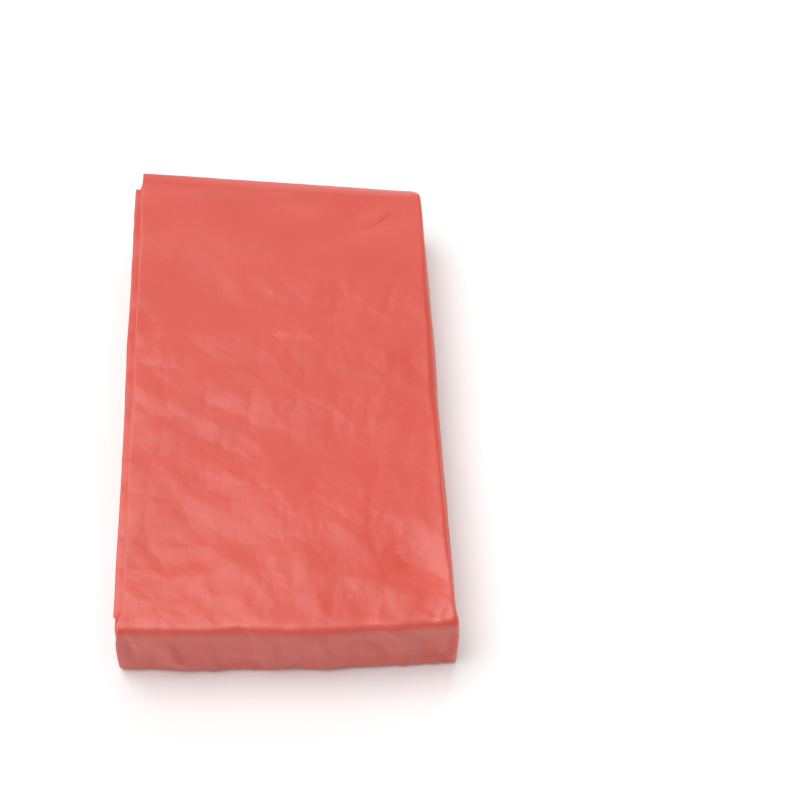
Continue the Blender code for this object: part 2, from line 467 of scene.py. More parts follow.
def smooth_field(x, y, spacing, seed):
    """Two-dimensional value noise in -1..1 on a square lattice, joined by 6 t^5 - 15 t^4 + 10 t^3."""
    heights = np.random.default_rng(seed).uniform(-1, 1, (FIELD_SIDE, FIELD_SIDE))
    place = [np.asarray(v) / spacing + FIELD_START for v in np.broadcast_arrays(x, y)]
    cell = [np.floor(v).astype(int) for v in place]
    part = [v - c for v, c in zip(place, cell)]
    part = [t**3 * (t * (t * 6 - 15) + 10) for t in part]
    i, j = cell[0] % FIELD_SIDE, cell[1] % FIELD_SIDE
    next_i, next_j = (i + 1) % FIELD_SIDE, (j + 1) % FIELD_SIDE
    low = heights[i, j] * (1 - part[0]) + heights[next_i, j] * part[0]
    high = heights[i, next_j] * (1 - part[0]) + heights[next_i, next_j] * part[0]
    return low * (1 - part[1]) + high * part[1]


def edge_noise(path, size, seed):
    """How far a leaf's edge wanders in or out along the strip: a drift, a swing and a quick waver."""
    run = path[:, RUN]
    drift = 0.50 * smooth_noise(run, 83 * MM, seed + 50)
    swing = 0.33 * smooth_noise(run, 31 * MM, seed) + 0.17 * smooth_noise(run, 9 * MM, seed + 1)
    return size * MM * (drift + swing) * (1 - 0.8 * path[:, PAST].clip(0, 1))


# %% Folds of the leaves
CORNER_RADIUS = 4.4 * MM
STUB = 5.0 * MM
STUB_POINTS = 5


def rounded_corner(path):
    """Draws the right edge in along a quarter circle where the overhanging fold ends."""
    fold_edge = TURNS[0, 0] + LEVEL_PITCH / 2
    into = ((path[:, Y] - fold_edge + CORNER_RADIUS) / CORNER_RADIUS).clip(0, 1) * (path[:, PAST] > 0)
    shaped = path.copy()
    shaped[:, RIGHT] -= CORNER_RADIUS * (1 - np.sqrt(1 - into**2))
    return shaped


# how far each fold wanders, in mm, and its seed
SPINE_WANDER = (0.7, 40)
INNER_SPINES = (("spine 2-7", 0.35, 42), ("spine 3-6", 0.35, 44), ("spine 4-5", 0.35, 46))
LEFT_FOLD_WANDER = (0.5, 50)
LEAST_SLACK = 0.05 * MM
# how far in from the level's left edge each line lies and how far it wanders, in mm, and its seed
LEFT_LINES = (
    ("left 1-4", 0.60, 0.7, 48), ("left 5-6", 0.60, 1.0, 52),
    ("end 7", 0.90, 1.4, 54), ("end 8", 0.55, 1.1, 56),
)


def leaf_edges(path):
    """Where each fold, free edge and cut lies across the strip: near the level's own edges, but wandering."""
    edge = {"spine 1-8": path[:, RIGHT] - SPINE_REACH + edge_noise(path, *SPINE_WANDER)}
    slack = 0
    for name, size, seed in INNER_SPINES:
        slack = slack + LEAST_SLACK + np.abs(edge_noise(path, size, seed))
        edge[name] = edge["spine 1-8"] - slack
    for name, inset, size, seed in LEFT_LINES:
        edge[name] = path[:, LEFT] + inset * MM + edge_noise(path, size, seed)
    edge["left 2-3"] = edge["left 1-4"] + LEAST_SLACK + np.abs(edge_noise(path, *LEFT_FOLD_WANDER))
    edge["stub 8"] = edge["spine 1-8"] - STUB
    edge["stub 4"] = edge["left 1-4"] + STUB
    edge["past stub 8"] = edge["stub 8"] - LEAF_THICKNESS
    edge["past stub 4"] = edge["stub 4"] + LEAF_THICKNESS
    return edge


# Each row is a leaf, the edge that it comes from and the edge that it runs to.
WHOLE_STRIP = (
    (8, "end 8", "spine 1-8"), (1, "spine 1-8", "left 1-4"), (4, "left 1-4", "spine 4-5"),
    (5, "spine 4-5", "left 5-6"), (6, "left 5-6", "spine 3-6"), (3, "spine 3-6", "left 2-3"),
    (2, "left 2-3", "spine 2-7"), (7, "spine 2-7", "end 7"),
)
# The outermost leaf with the folds at both its edges, and a short stub of the leaf past each.
OUTER_LEAF = ((8, "stub 8", "spine 1-8"), (1, "spine 1-8", "left 1-4"), (4, "left 1-4", "stub 4"))
# What is left of the strip inside the outermost leaf, in two parts that start where its stubs end.
INNERMOST_LEAF = ((8, "end 8", "past stub 8"),)
MIDDLE_LEAVES = ((4, "past stub 4", "spine 4-5"), *WHOLE_STRIP[3:])


def folded_line(path, places, route):
    """One folded line for each station: the route's leaves one after another, joined by half turns."""
    edge = leaf_edges(path)
    runs = []
    for index, (leaf, start, end) in enumerate(route):
        rightwards = edge[end].mean() > edge[start].mean()
        low, high = (edge[start], edge[end]) if rightwards else (edge[end], edge[start])
        if (high - low).mean() > 2 * STUB:
            run = leaf_run(low, high, places)
        else:
            run = np.linspace(low, high, STUB_POINTS, axis=1)
        runs.append((run if rightwards else run[:, ::-1], leaf_depth(leaf)))
        if index + 1 < len(route):
            runs.append(half_turn(edge[end], leaf, route[index + 1][0], 1 if rightwards else -1))
    across = np.concatenate([run[0] for run in runs], axis=1)
    depth = np.concatenate([np.broadcast_to(run[1], run[0].shape) for run in runs], axis=1)
    return across, depth


# %% [markdown]
# ## How the film settles
# Film is never flat. The pile has soft hollows where it was pressed, its edges gape a little, the top
# panel carries long ripples and a few creases, the near end is crumpled into upright facets, and the
# overhanging fold droops. All of that is one smooth shift of space, given as formulas of place, so leaves
# that lie on one another move together. Each mesh meets the shift only at its own points, though, and the
# coarser lining comes through the outer film in places, most of all at the crumpled near end, by tenths
# of a millimetre. Only at the strip's two ends does each leaf slide along its neighbours by its own
# amount. A cloth simulation could find such ripples too, but ninety-six leaves about a quarter of a
# millimetre apart would take it hours.

# %% Soft hollows and creases
# x, y, half length, half width, angle in radians, depth: lengths in mm, a swell where the depth is below 0
HOLLOWS = np.array([
    (34, 78, 26, 9, 0.55, 1.0), (-30, 46, 34, 16, -0.35, 0.9), (12, -18, 45, 18, 0.20, 1.2),
    (-36, -62, 26, 12, 0.80, 0.8), (46, -74, 16, 8, -0.60, 1.0), (-10, 85, 70, 9, 0.04, 0.7),
    (58.5, -68, 36, 8, 1.56, -1.3), (58.0, 25, 60, 6, 1.58, -0.50),
])
# x, y, half length, width, angle in degrees, height: lengths in mm, a trough where the height is below 0
CREASES = np.array([
    (40.7, 75.8, 6.4, 1.1, 42, -0.58), (37, 79, 9, 2.4, 40, 0.26), (33.0, 71.6, 2.4, 1.0, 30, -0.30),
    (-24, 84, 18, 3.0, 5, -0.10), (-43, 60, 9, 1.6, 66, 0.10), (4, 52, 24, 3.4, -13, -0.10),
    (-14, 26, 30, 3.0, 19, 0.12), (37, 24, 19, 2.4, 74, -0.10), (-46, 6, 14, 1.8, 80, 0.10),
    (18, -10, 26, 3.2, -23, 0.12), (-24, -34, 24, 2.6, 36, -0.13), (46, -40, 15, 2.0, 84, 0.12),
    (2, -56, 28, 2.8, 11, -0.10), (29, -68, 18, 2.2, -40, 0.16), (-40, -76, 14, 1.8, -54, -0.16),
    (53.5, -96.6, 4.0, 1.5, 4, 0.55), (52.4, -93.4, 3.4, 0.9, 66, -0.40), (54.4, -92.4, 3.0, 1.1, -48, 0.42),
])
# the same for the near end, with z in place of y, and how far each crease goes into the pile
END_CREASES = np.array([
    (-52, 18, 10, 1.2, 96, 1.2), (-45, 10, 9, 1.0, 78, 0.9), (-37, 20, 9, 1.3, 108, 1.1),
    (-29, 9, 8, 1.0, 92, 0.8), (-20, 17, 12, 1.5, 84, 1.3), (-11, 8, 7, 1.0, 116, 0.9),
    (-3, 19, 9, 1.2, 95, 1.1), (6, 11, 10, 1.4, 72, 1.2), (15, 20, 8, 1.0, 101, 0.8),
    (23, 9, 8, 1.2, 88, 1.1), (31, 18, 10, 1.3, 112, 1.2), (39, 8, 8, 1.0, 80, 1.0),
    (46, 17, 11, 1.4, 97, 1.3), (51.5, 8, 6, 1.0, 128, 1.2), (55, 20, 8, 1.0, 85, 0.8),
])
CREASE_BOW = 0.06  # how far a crease has bowed at its ends, in half lengths
CREASE_CREST = 0.4  # how round its crest is, in widths
FLATTER_FLANK = 1.7  # how much wider one flank is than the other
print("hollows and swells:", len(HOLLOWS), "creases:", len(CREASES), "at the near end:", len(END_CREASES))


def along_and_across(x, y, centre_x, centre_y, angle):
    """Distances from a centre, in mm, along a direction and square to it."""
    from_x, from_y = x / MM - centre_x, y / MM - centre_y
    cosine, sine = math.cos(angle), math.sin(angle)
    return from_x * cosine + from_y * sine, from_y * cosine - from_x * sine


def hollow_depth(x, y):
    """How far the top is pressed down: the sum over the hollows of depth times exp(-r^2)."""
    depth = np.zeros(np.broadcast(x, y).shape)
    for centre_x, centre_y, half_length, half_width, angle, deep in HOLLOWS:
        along, across = along_and_across(x, y, centre_x, centre_y, angle)
        depth += deep * MM * np.exp(-((along / half_length) ** 2) - (across / half_width) ** 2)
    return depth


def crease_height(x, y, creases):
    """Height of the creases: each is a tent exp(-|d| / width) with a soft crest, fading to its ends."""
    height = np.zeros(np.broadcast(x, y).shape)
    for centre_x, centre_y, half_length, width, degrees, high in creases:
        along, across = along_and_across(x, y, centre_x, centre_y, math.radians(degrees))
        across = across - CREASE_BOW * along**2 / half_length
        flank = np.where(across > 0, 1.0, FLATTER_FLANK) * width
        tent = CREASE_CREST - np.hypot(across / flank, CREASE_CREST)
        height += high * MM * np.exp(tent - (along / half_length) ** 4)
    return height


# %% Facets of handled film
# direction in degrees, spacing and height in mm
KINKS = np.array([
    (12, 25, 0.17), (-34, 19, 0.14), (63, 16, 0.12), (86, 29, 0.17), (-71, 11, 0.07), (37, 8.5, 0.05),
    (-9, 6.5, 0.035),
])


def triangle_wave(at):
    """Straight lines up and down between -1 and 1, one period for each 1 of at."""
    return 4 * np.abs(at - np.floor(at + 0.5)) - 1


KINK_BEND = 0.30  # how far the waves bend sideways, in spacings
PATCH_SHARE = 0.25  # raises the share of the film that has them


def film_facets(x, y, seed):
    """Flat facets of handled film: triangle waves in several directions, bent a little, each in patches."""
    height = np.zeros(np.broadcast(x, y).shape)
    for index, (degrees, spacing, high) in enumerate(KINKS):
        angle = math.radians(degrees)
        across = (x * math.cos(angle) + y * math.sin(angle)) / (spacing * MM)
        bend = KINK_BEND * smooth_field(x, y, 2.1 * spacing * MM, seed + index)
        patch = (PATCH_SHARE + smooth_field(x, y, 1.6 * spacing * MM, seed + 20 + index)).clip(0, 1)
        height += high * MM * patch * triangle_wave(across + bend)
    return height


# %% Ripples of the top panel and of the near end
def puckers(from_fold, along_fold, spacing, reach, seed):
    """Short ripples square to a fold: noise along it times exp(-distance / reach), the reach uneven too."""
    slanted = along_fold + 0.35 * from_fold * smooth_noise(along_fold, 3 * spacing, seed + 1)
    own_reach = reach * (1 + 0.6 * smooth_noise(slanted, spacing, seed + 2))
    round_ripple = smooth_noise(slanted, spacing, seed)
    sharp_ripple = kinked_noise(slanted, 0.55 * spacing, seed + 3)
    return (0.6 * round_ripple + 0.4 * sharp_ripple) * np.exp(-from_fold.clip(0) / own_reach)


PULLED_FLAT_FROM = 40 * MM
SWELL = 0.26 * MM
SWELL_SPACING = 31 * MM
CRUMPLE = 0.25 * MM
CRUSHED_CORNER = (54.0 * MM, -95.5 * MM)
CRUSHED_REACH = (8 * MM, 7 * MM)
# height, spacing and reach of the puckers in mm, and their seed, along the near, far, left and right edge
EDGE_PUCKERS = ((0.30, 8, 9, 71), (0.10, 11, 8, 75), (0.16, 12, 7, 79), (0.16, 13, 7, 83))


def handling(x, y):
    """How much the film was handled, 0 to 1: less on the right, least at the far end, only pulled flat."""
    far = ease((y - PULLED_FLAT_FROM) / (20 * MM))
    right = ease((x - PULLED_FLAT_FROM) / (10 * MM))
    return 1 - 0.75 * far - 0.20 * right


def top_ripple(x, y):
    """Ripples of the top panel: slow swells, facets, puckers along its four edges, and the creases."""
    ripple = SWELL * smooth_field(x, y, SWELL_SPACING, 11) + handling(x, y) * film_facets(x, y, 90)
    edges = ((y - sack_low.y, x), (sack_high.y - y, x), (x - sack_low.x, y), (sack_high.x - x, y))
    for (from_fold, along_fold), (height, spacing, reach, seed) in zip(edges, EDGE_PUCKERS):
        ripple = ripple + height * MM * puckers(from_fold, along_fold, spacing * MM, reach * MM, seed)
    crumple = CRUMPLE * (kinked_noise(x - 0.5 * y, 2.4 * MM, 87) + kinked_noise(y + 0.7 * x, 3.0 * MM, 88))
    for place, corner, reach in zip((x, y), CRUSHED_CORNER, CRUSHED_REACH):
        crumple = crumple * bell(place - corner, reach)
    return ripple + crease_height(x, y, CREASES) + crumple


# height, spacing and seed of the sharp facets at the near end, lengths in mm
NOSE_FACETS = ((1.25, 6.2, 22), (0.55, 2.8, 23))
NOSE_BEND = 3.6 * MM
NOSE_SWELL = 0.50 * MM


def nose_crumple(x, z):
    """Upright facets of the near end: kinked noise across, bent by a slow field, less the creases."""
    bent = x + NOSE_BEND * smooth_field(x, z, 17 * MM, 21)
    facets = sum(high * MM * kinked_noise(bent, spacing * MM, seed) for high, spacing, seed in NOSE_FACETS)
    swell = NOSE_SWELL * smooth_field(x, z, 24 * MM, 24)
    strength = 0.65 + 0.35 * smooth_field(x, z, 13 * MM, 25)
    return facets * strength + swell - crease_height(x, z - sack_low.z, END_CREASES)


# %% Gaping levels and soft shoulders
# height, spacing and seed of a slow and a quick field, lengths in mm
SIDE_GAPE = ((0.55, 15, 31), (0.25, 6, 32))
FAR_GAPE = ((0.50, 17, 33), (0.22, 6, 34))
GAPE_STRETCH = 2.2  # how much quicker the gape changes with height than along the side
GAPE_DEPTH = 5.0 * MM
FAR_GAPE_FROM = 4.0 * MM
FAR_GAPE_DEPTH = 7.0 * MM
LEFT_SHOULDER = 0.7 * MM
LEFT_SHOULDER_REACH = 2.4 * MM
SLOPE_FROM = 56.0 * MM
SLOPE_WIDTH = 2.3 * MM
SLOPE = math.tan(math.radians(32))
SLOPE_SOFTNESS = 0.22 * MM


def gape(along, z, fields):
    """How far the levels open along a side of the pile: the sum of fields that change with height too."""
    return sum(
        height * MM * smooth_field(along, GAPE_STRETCH * z, spacing * MM, seed)
        for height, spacing, seed in fields
    )


def from_side(x):
    """Distance in from the pile's nearer long side."""
    return np.minimum(x - LEVEL_EDGES[:, 0].min(), LEVEL_EDGES[:, 1].max() - x).clip(0)


def gaping_levels(x, y, z):
    """The gape along both long sides and along the far end, each fading into the pile."""
    from_far_end = (sack_high.y - FAR_GAPE_FROM - y).clip(0)
    sides = bell(from_side(x), GAPE_DEPTH) * gape(y, z, SIDE_GAPE)
    return sides + bell(from_far_end, FAR_GAPE_DEPTH) * gape(x, z, FAR_GAPE)


def right_slope(x, y):
    """How far the top sinks beside the spine: a flat slope from a soft line, narrower at both ends."""
    narrower = 0.55 * ease((y - 10 * MM) / (75 * MM)) + 0.55 * ease((-62 * MM - y) / (24 * MM))
    width = SLOPE_WIDTH * (1 + 0.22 * smooth_noise(y, 23 * MM, 36) - narrower)
    into = (x - SLOPE_FROM + width) / SLOPE_SOFTNESS
    return SLOPE * SLOPE_SOFTNESS * np.logaddexp(0, into)


def shoulders(x, y):
    """How far the top sinks beside its long edges: exp(-distance / reach) on the left, else a slope."""
    left = LEFT_SHOULDER * np.exp(-from_side(x) / LEFT_SHOULDER_REACH) * (x < 0)
    return left + right_slope(x, y)


# %% The near top edge and the free ends
NEAR_EDGE_WANDER = 0.8 * MM
NEAR_EDGE_FROM = 2.5 * MM
NEAR_EDGE_REACH = 6.0 * MM
NEAR_EDGE_PINCH = 0.65 * MM
PINCH_REACH = 1.6 * MM
PINCH_RISE = 0.7  # how far a pinch lifts the edge, for each 1 that it pushes it out
FREE_REACH = 18 * MM
LEAF_SLIDE = 1.1 * MM
SLIDE_WITH_DEPTH = 0.8
SLIDE_ACROSS = 0.8 * MM


def near_edge_wander(x):
    """How far the near top edge bends in and down: broad swings and short kinks along the edge."""
    return NEAR_EDGE_WANDER * (0.6 * smooth_noise(x, 21 * MM, 37) + 0.4 * kinked_noise(x, 7 * MM, 38))


def near_edge_pinch(x, y, z):
    """How far the near top edge is pinched out: a ridge exp(-r^2) along it, uneven by kinked noise."""
    uneven = 0.7 + 0.3 * kinked_noise(x, 9 * MM, 39)
    return NEAR_EDGE_PINCH * uneven * bell(np.hypot(y - sack_low.y, z - sack_high.z), PINCH_REACH)


def free_end_slide(x, y, z, depth):
    """How far each leaf slides out at the strip's two ends: by its own noise, and more the outer it lies."""
    free_end = np.where(z < level_height(0.5), BOTTOM_END, INNER_END)
    into_end = ((y - free_end + FREE_REACH) / FREE_REACH).clip(0, 1) * (z < level_height(1.5))
    own = LEAF_SLIDE * smooth_noise(depth + LEAF_PITCH / 2, LEAF_PITCH, 41) + SLIDE_WITH_DEPTH * depth
    return into_end * (own + SLIDE_ACROSS * smooth_noise(x, 30 * MM, 42))


# %% The settling of the whole pack
DROOP_LEFT = 0.7 * MM
DROOP_RIGHT = 2.9 * MM
DROOP_POWER = 1.8
RIPPLE_DEPTH = 7.0 * MM  # how deep into the pile the top's ripples go on
NEAR_REACH = 45 * MM
TOP_SET_BACK = 2.6 * MM
NEAR_BOW = 1.6 * MM
LEVEL_SHIFT = 0.8 * MM
RIGHT_SPREAD = 2.0 * MM
FAR_TAPER = 0.4 * MM
TOP_FLARE = 0.5 * MM
FLARE_REACH = 15 * MM
# how creased the near end's face counts also sets how pale it is painted: stress whitening and painted
# highlight
NOSE_CREASE = 0.5  # how creased the near end's face counts, where a fold is 1


def into_nose(y):
    """0 where the levels are straight, rising to 1 at the near end's face."""
    return ease((sack_low.y + NOSE_DEPTH + STRIP_HALF - y) / NOSE_DEPTH)


def near_share(y, reach):
    """0 at a reach from the near end, rising to 1 at it."""
    return ease((sack_low.y + reach - y) / reach)


def settled_width(x, y, share):
    """Places across: the right side spreads low down at the near end, flares on top and tapers far off."""
    to_right = (x / sack_high.x).clip(0, 1) ** 2
    spread = RIGHT_SPREAD * near_share(y, NEAR_REACH) * (1 - share) ** 1.5
    flare = TOP_FLARE * share**2 * near_share(y, FLARE_REACH)
    return x + to_right * (spread - FAR_TAPER * ease(y / sack_high.y) + flare)


def settled_length(x, y, z, share):
    """Places along: the near end crumpled, bowed and leaning back, and each level's ends a little uneven."""
    inside = 4 * share * (1 - share)
    both_ends = ease((np.abs(y) - 62 * MM) / (26 * MM)) * inside * (1 - share**6)
    crumpled = y - into_nose(y) * nose_crumple(x, z) * (0.35 + 0.65 * inside)
    uneven = crumpled + both_ends * LEVEL_SHIFT * smooth_field(x, 1.7 * z, 24 * MM, 35)
    return uneven + near_share(y, NEAR_REACH) * (TOP_SET_BACK * share + NEAR_BOW * (x / sack_high.x) ** 2)


def settled_height(x, y, z, share, past, part_across):
    """Heights: less hollows, shoulders and the overhang's droop, and with the gape and the ripples."""
    inside = 4 * share * (1 - share)
    rippled = np.exp(-(1 - share) * PACK_HEIGHT / RIPPLE_DEPTH) * top_ripple(x, y)
    droop = (DROOP_LEFT + (DROOP_RIGHT - DROOP_LEFT) * part_across) * past.clip(0) ** DROOP_POWER
    lift = inside * gaping_levels(x, y, z) + rippled - hollow_depth(x, y)
    return z + share * lift - share**4 * shoulders(x, y) - droop


def settle(x, y, z, past, part_across, depth):
    """Moves points from the ideal fold to where the film lies, and says how creased each point is: the mask
    for whitening and painted highlight.
    """
    share = ((z - sack_low.z) / PACK_HEIGHT).clip(0, 1)
    near_top = share**3 * bell(y - sack_low.y - NEAR_EDGE_FROM, NEAR_EDGE_REACH)
    pinch = near_edge_pinch(x, y, z)
    moved_y = settled_length(x, y, z, share) + free_end_slide(x, y, z, depth)
    moved_y = moved_y + near_top * near_edge_wander(x) - pinch
    moved_z = settled_height(x, y, z, share, past, part_across)
    moved_z = moved_z - near_top * 0.5 * np.abs(near_edge_wander(x + 50 * MM)) + PINCH_RISE * pinch
    # the near end's face counts as half creased, so it is painted half as pale: whitening and painted
    # highlight
    whitening_and_highlight = NOSE_CREASE * into_nose(y) * (1 - bell(from_side(x), GAPE_DEPTH))
    return settled_width(x, y, share), moved_y, moved_z, whitening_and_highlight


# %% [markdown]
# ## From lines to film
# Each folded line gets the film's thickness: it is shifted half a thickness to both sides, closed with a
# tip at each free edge, and carried along the path. The result is a closed skin, so it exports as solid
# film and takes light on both faces. A Solidify modifier could do this too, but at the tight folds it
# would push the inner side through itself.

# %% Make one piece of film
def thicken(across, depth):
    """The line shifted by half a thickness along its normal to one side and back along the other."""
    travel = np.stack([np.gradient(across, axis=1), np.gradient(depth, axis=1)])
    travel /= np.linalg.norm(travel, axis=0)
    normal = np.stack([-travel[1], travel[0]]) * LEAF_THICKNESS / 2
    line = np.stack([across, depth])
    tip_end = line[:, :, -1:] + travel[:, :, -1:] * LEAF_THICKNESS / 2
    tip_start = line[:, :, :1] - travel[:, :, :1] * LEAF_THICKNESS / 2
    return np.concatenate([line + normal, tip_end, (line - normal)[:, :, ::-1], tip_start], axis=2)


FULL_BEND = math.radians(22.5)
FOLD_STEP = 0.8 * MM


def bend_share(across, depth):
    """How sharply the loop turns at each point, 0 to 1 at 22.5 degrees, wherever its points lie close."""
    before = np.stack([across - np.roll(across, 1, 1), depth - np.roll(depth, 1, 1)])
    after = np.roll(before, -1, 2)
    cross = before[0] * after[1] - before[1] * after[0]
    length = np.linalg.norm(before, axis=0) * np.linalg.norm(after, axis=0)
    turn = np.abs(np.arcsin((cross / length).clip(-1, 1)))
    return (turn / FULL_BEND).clip(0, 1) * (length < FOLD_STEP**2)


def sweep(path, across, depth):
    """Carries a folded line along the path and settles it. Returns points, the mask of whitening and painted
    highlight, handling and place.
    """
    loop_across, loop_depth = thicken(across, depth)
    line_y, line_z, travel_y, travel_z, left, right, skew, past, run = path.T[:, :, None]
    part = (loop_across - left) / (right - left)
    y = line_y - travel_z * loop_depth + skew * (1 - 2 * part)
    z = line_z + travel_y * loop_depth
    x, y, z, whitening_and_highlight = settle(loop_across, y, z, np.broadcast_to(past, part.shape), part, loop_depth)
    # sharp folds join the mask of the pale paint: stress whitening and painted highlight
    whitening_and_highlight = np.maximum(whitening_and_highlight, bend_share(loop_across, loop_depth))
    step = np.hypot(np.diff(across, axis=1), np.diff(depth, axis=1))
    width = np.concatenate([np.zeros((len(path), 1)), np.cumsum(step, axis=1)], axis=1)
    width = np.concatenate([width, width[:, -1:], width[:, ::-1], width[:, :1]], axis=1)
    place = np.stack([width, np.broadcast_to(run, width.shape)], axis=2)
    return np.stack([x, y, z], axis=2), whitening_and_highlight, handling(x, y), place


def loop_faces(rows, columns):
    """Quads round a closed loop from station to station, then quads and tips that close both its ends."""
    index = np.arange(rows * columns).reshape(rows, columns)
    around = np.roll(index, -1, axis=1)
    skin = np.stack([index[:-1], around[:-1], around[1:], index[1:]], axis=2).reshape(-1, 4)
    half = (columns - 2) // 2
    one = np.arange(half - 1)
    other = 2 * half - one
    first = np.stack([one, other, other - 1, one + 1], axis=1)
    last = first[:, ::-1] + (rows - 1) * columns
    tips = np.array([(half - 1, half + 1, half), (0, 2 * half + 1, 2 * half)])
    return skin, np.concatenate([first, last]), np.concatenate([tips, tips[:, ::-1] + (rows - 1) * columns])


def shell_faces(points):
    """The faces of a shell, turned round if its volume, a sum over corner products, comes out negative."""
    skin, ends, tips = loop_faces(*points.shape[:2])
    quads = np.concatenate([skin, ends])
    corner = points.reshape(-1, 3)[quads]
    volume = np.einsum("ij,ij->", corner[:, 0], np.cross(corner[:, 1], corner[:, 2]))
    volume += np.einsum("ij,ij->", corner[:, 0], np.cross(corner[:, 2], corner[:, 3]))
    if volume < 0:
        quads, tips = quads[:, ::-1], tips[:, ::-1]
    smooth = np.arange(len(quads) + len(tips)) < len(skin)
    return quads, tips, smooth


# %% Put the shells into one mesh object
def film_piece(name, shells):
    """A mesh object from swept shells, with its mask of whitening and painted highlight, handling and places
    on the film as attributes.
    """
    faces, smooths, offset = [], [], 0
    for points, *_ in shells:
        quads, tips, smooth = shell_faces(points)
        faces += (quads + offset).tolist() + (tips + offset).tolist()
        smooths.append(smooth)
        offset += points[..., 0].size
    points, whitening_and_highlight, handled, place = (
        np.concatenate([values.reshape(-1, *values.shape[2:]) for values in kind]) for kind in zip(*shells)
    )
    mesh = bpy.data.meshes.new(name)
    mesh.from_pydata(points.tolist(), [], faces)
    mesh.polygons.foreach_set("use_smooth", np.concatenate(smooths))
    # the first attribute masks the pale paint: stress whitening and painted highlight
    for attribute, values in (("whitening_and_highlight", whitening_and_highlight), ("handling", handled)):
        mesh.attributes.new(attribute, "FLOAT", "POINT").data.foreach_set("value", values.astype(np.float32))
    place = np.pad(place, ((0, 0), (0, 1))).astype(np.float32)
    mesh.attributes.new("film_place", "FLOAT_VECTOR", "POINT").data.foreach_set("vector", place.ravel())
    piece = bpy.data.objects.new(name, mesh)
    bpy.context.scene.collection.objects.link(piece)
    print(f"{name}: {len(points)} points, {sum(len(face) - 2 for face in faces)} triangles")
    return piece


# %% [markdown]
# ## The wrap and the inner levels
# The outermost leaf is the film that one sees: its points are about a millimetre apart on top and at the
# near end, so that ripples and creases are real shape. The leaves inside it show only their edges, so they
# have few points across. The levels inside the wrap could be one piece too, but it would hold too many
# triangles, so they are cut in the middle of turns at the near end, where the wrap hides the cuts.

# %% Fold up the wrap
fine_path = rounded_corner(fine_wrap_path)
outer_film = film_piece("outer_film", [sweep(fine_path, *folded_line(fine_path, FINE_PLACES, OUTER_LEAF))])

lining_path = rounded_corner(coarse_wrap_path)
wrap_lining = film_piece("wrap_lining", [
    sweep(lining_path, *folded_line(lining_path, COARSE_PLACES, route))
    for route in (INNERMOST_LEAF, MIDDLE_LEAVES)
])

# %% Fold up the inner levels
STRETCH_COUNT = 4

mid_turn = np.isclose(inner_strip_path[:, TRAVEL_Y], 0)
near_turns = np.flatnonzero(mid_turn & (inner_strip_path[:, Y] < 0))
inner_ends = [*near_turns[:STRETCH_COUNT], len(inner_strip_path) - 1]
inner_stretches = [inner_strip_path[a : b + 1] for a, b in zip(inner_ends[:-1], inner_ends[1:])]
inner_strip = [
    film_piece(f"inner_strip_{number}", [sweep(path, *folded_line(path, COARSE_PLACES, WHOLE_STRIP))])
    for number, path in enumerate(inner_stretches, 1)
]

# %% [markdown]
# ## The film's finish
# Low-density polyethylene, blown as a tube and filled with an orange-red pigment. It is satin: smoother
# than cloth and hazier than glass, with an index of 1.51. Light goes a little way into the stacked plies,
# so thin edges glow. Blowing leaves faint lines along the tube and a slightly cloudy colour, and handling
# leaves fine crinkles and a net of soft creases. Hard creases and folds are painted pale: partly the film's
# stress whitening, partly a painted highlight along the folds. Lines, crinkles and creases could follow
# the object's own axes, but then they would run straight on over each fold. They follow the film's length
# and width, which each piece carries as an attribute, so they turn every fold with it.

# %% Sizes and colours of the finish
FILM_COLOUR = "#dc5444"
FILM_DEEP = "#cd4334"
# pale colour painted on hard creases and folds: partly stress whitening, partly a painted highlight along the
# folds
FILM_WHITENED_AND_LIT = "#f0998c"
WHITENING_AND_HIGHLIGHT_SHARE = 0.20
CLOUD_SIZE = 30 * MM
FILM_IOR = 1.51
SATIN_ROUGHNESS = (0.30, 0.44)
GLOW_WEIGHT = 0.15
GLOW_RADIUS = (1.0, 0.25, 0.15)
GLOW_DEPTH = 0.8 * MM
# real lines are closer together: these are as wide as they need to be to show
DIE_LINE_SPACING = 1.6 * MM
DIE_LINE_HEIGHT = 0.05 * MM
CHANGES_ALONG_LINE = 6.0  # in a metre
CRINKLE_SIZE = 3.5 * MM
CRINKLE_HEIGHT = 0.20 * MM
CREASE_NET = 16 * MM
SMALL_NET = 0.42 * CREASE_NET
NET_SWIRL = 0.22 * CREASE_NET
CREASE_NET_HEIGHT = 0.024 * CREASE_NET
SMALL_NET_HEIGHT = 0.012 * CREASE_NET
SMALL_NET_CLOUDS = (0.40, 0.65)  # the small net fades in between these levels of the clouds


